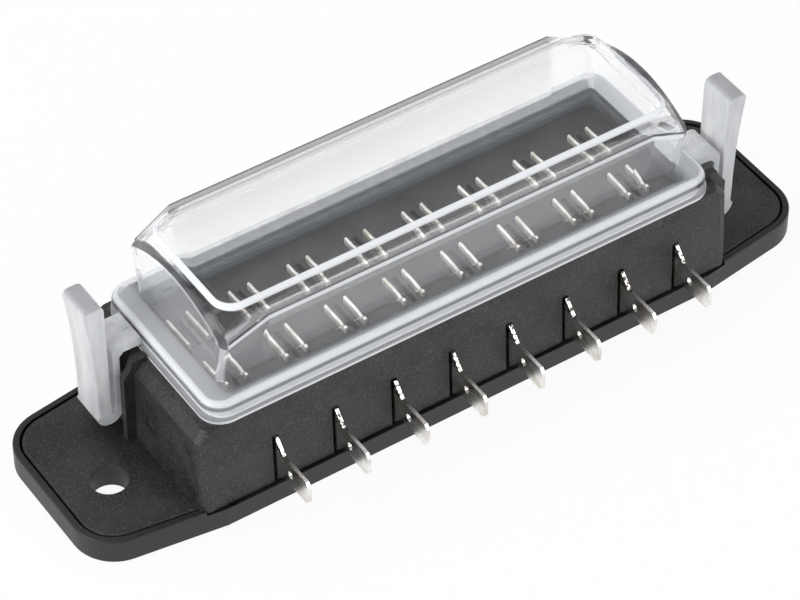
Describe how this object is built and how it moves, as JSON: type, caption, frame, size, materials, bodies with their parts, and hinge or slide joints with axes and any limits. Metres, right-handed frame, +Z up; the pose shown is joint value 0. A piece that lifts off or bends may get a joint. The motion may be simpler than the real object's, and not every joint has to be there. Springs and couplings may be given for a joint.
{
  "type": "blade fuse box",
  "caption": "Surface-mount blade fuse box: black ribbed base with tab terminals on both long sides, fuse jaws on top, and a clear cover held by two squeeze latches.",
  "frame": {"origin": "centre of the tray's underside, on the surface that the box is screwed to", "axes": "+X along the rows of terminals to the end whose fixing hole lies towards the rear, -Y to the front row, +Z up out of the mounting surface"},
  "size_m": [0.1878, 0.0732, 0.053],
  "materials": {
    "tray_plastic": "fine matte grain, satin outer wall",
    "housing_plastic": "fine matte grain",
    "tinned_brass": "bright tin plate",
    "clear_plastic": "polished",
    "frosted_plastic": "frosted, milky"
  },
  "bodies": {
    "base": {"base_tray": "tray_plastic", "fuse_housing": "housing_plastic", "terminal_front_1": "tinned_brass", "terminal_front_2": "tinned_brass", "terminal_front_3": "tinned_brass", "terminal_front_4": "tinned_brass", "terminal_front_5": "tinned_brass", "terminal_front_6": "tinned_brass", "terminal_front_7": "tinned_brass", "terminal_front_8": "tinned_brass", "terminal_rear_1": "tinned_brass", "terminal_rear_2": "tinned_brass", "terminal_rear_3": "tinned_brass", "terminal_rear_4": "tinned_brass", "terminal_rear_5": "tinned_brass", "terminal_rear_6": "tinned_brass", "terminal_rear_7": "tinned_brass", "terminal_rear_8": "tinned_brass"},
    "cover": {"clear_cover": "clear_plastic"},
    "left_latch": {"latch_left": "frosted_plastic"},
    "right_latch": {"latch_right": "frosted_plastic"}
  },
  "joints": [
    {"name": "cover_lift", "type": "slide", "parent": "base", "child": "cover", "axis": [0, 0, 1], "range_m": [0, 0.06]},
    {"name": "left_latch_squeeze", "type": "hinge", "parent": "cover", "child": "left_latch", "pos_m": [-0.066, 0.01055, 0.031], "axis": [0, 1, 0], "range_deg": [0, 8], "stiffness_Nm_per_rad": 0.6},
    {"name": "right_latch_squeeze", "type": "hinge", "parent": "cover", "child": "right_latch", "pos_m": [0.066, -0.01055, 0.031], "axis": [0, -1, 0], "range_deg": [0, 8], "stiffness_Nm_per_rad": 0.6}
  ]
}
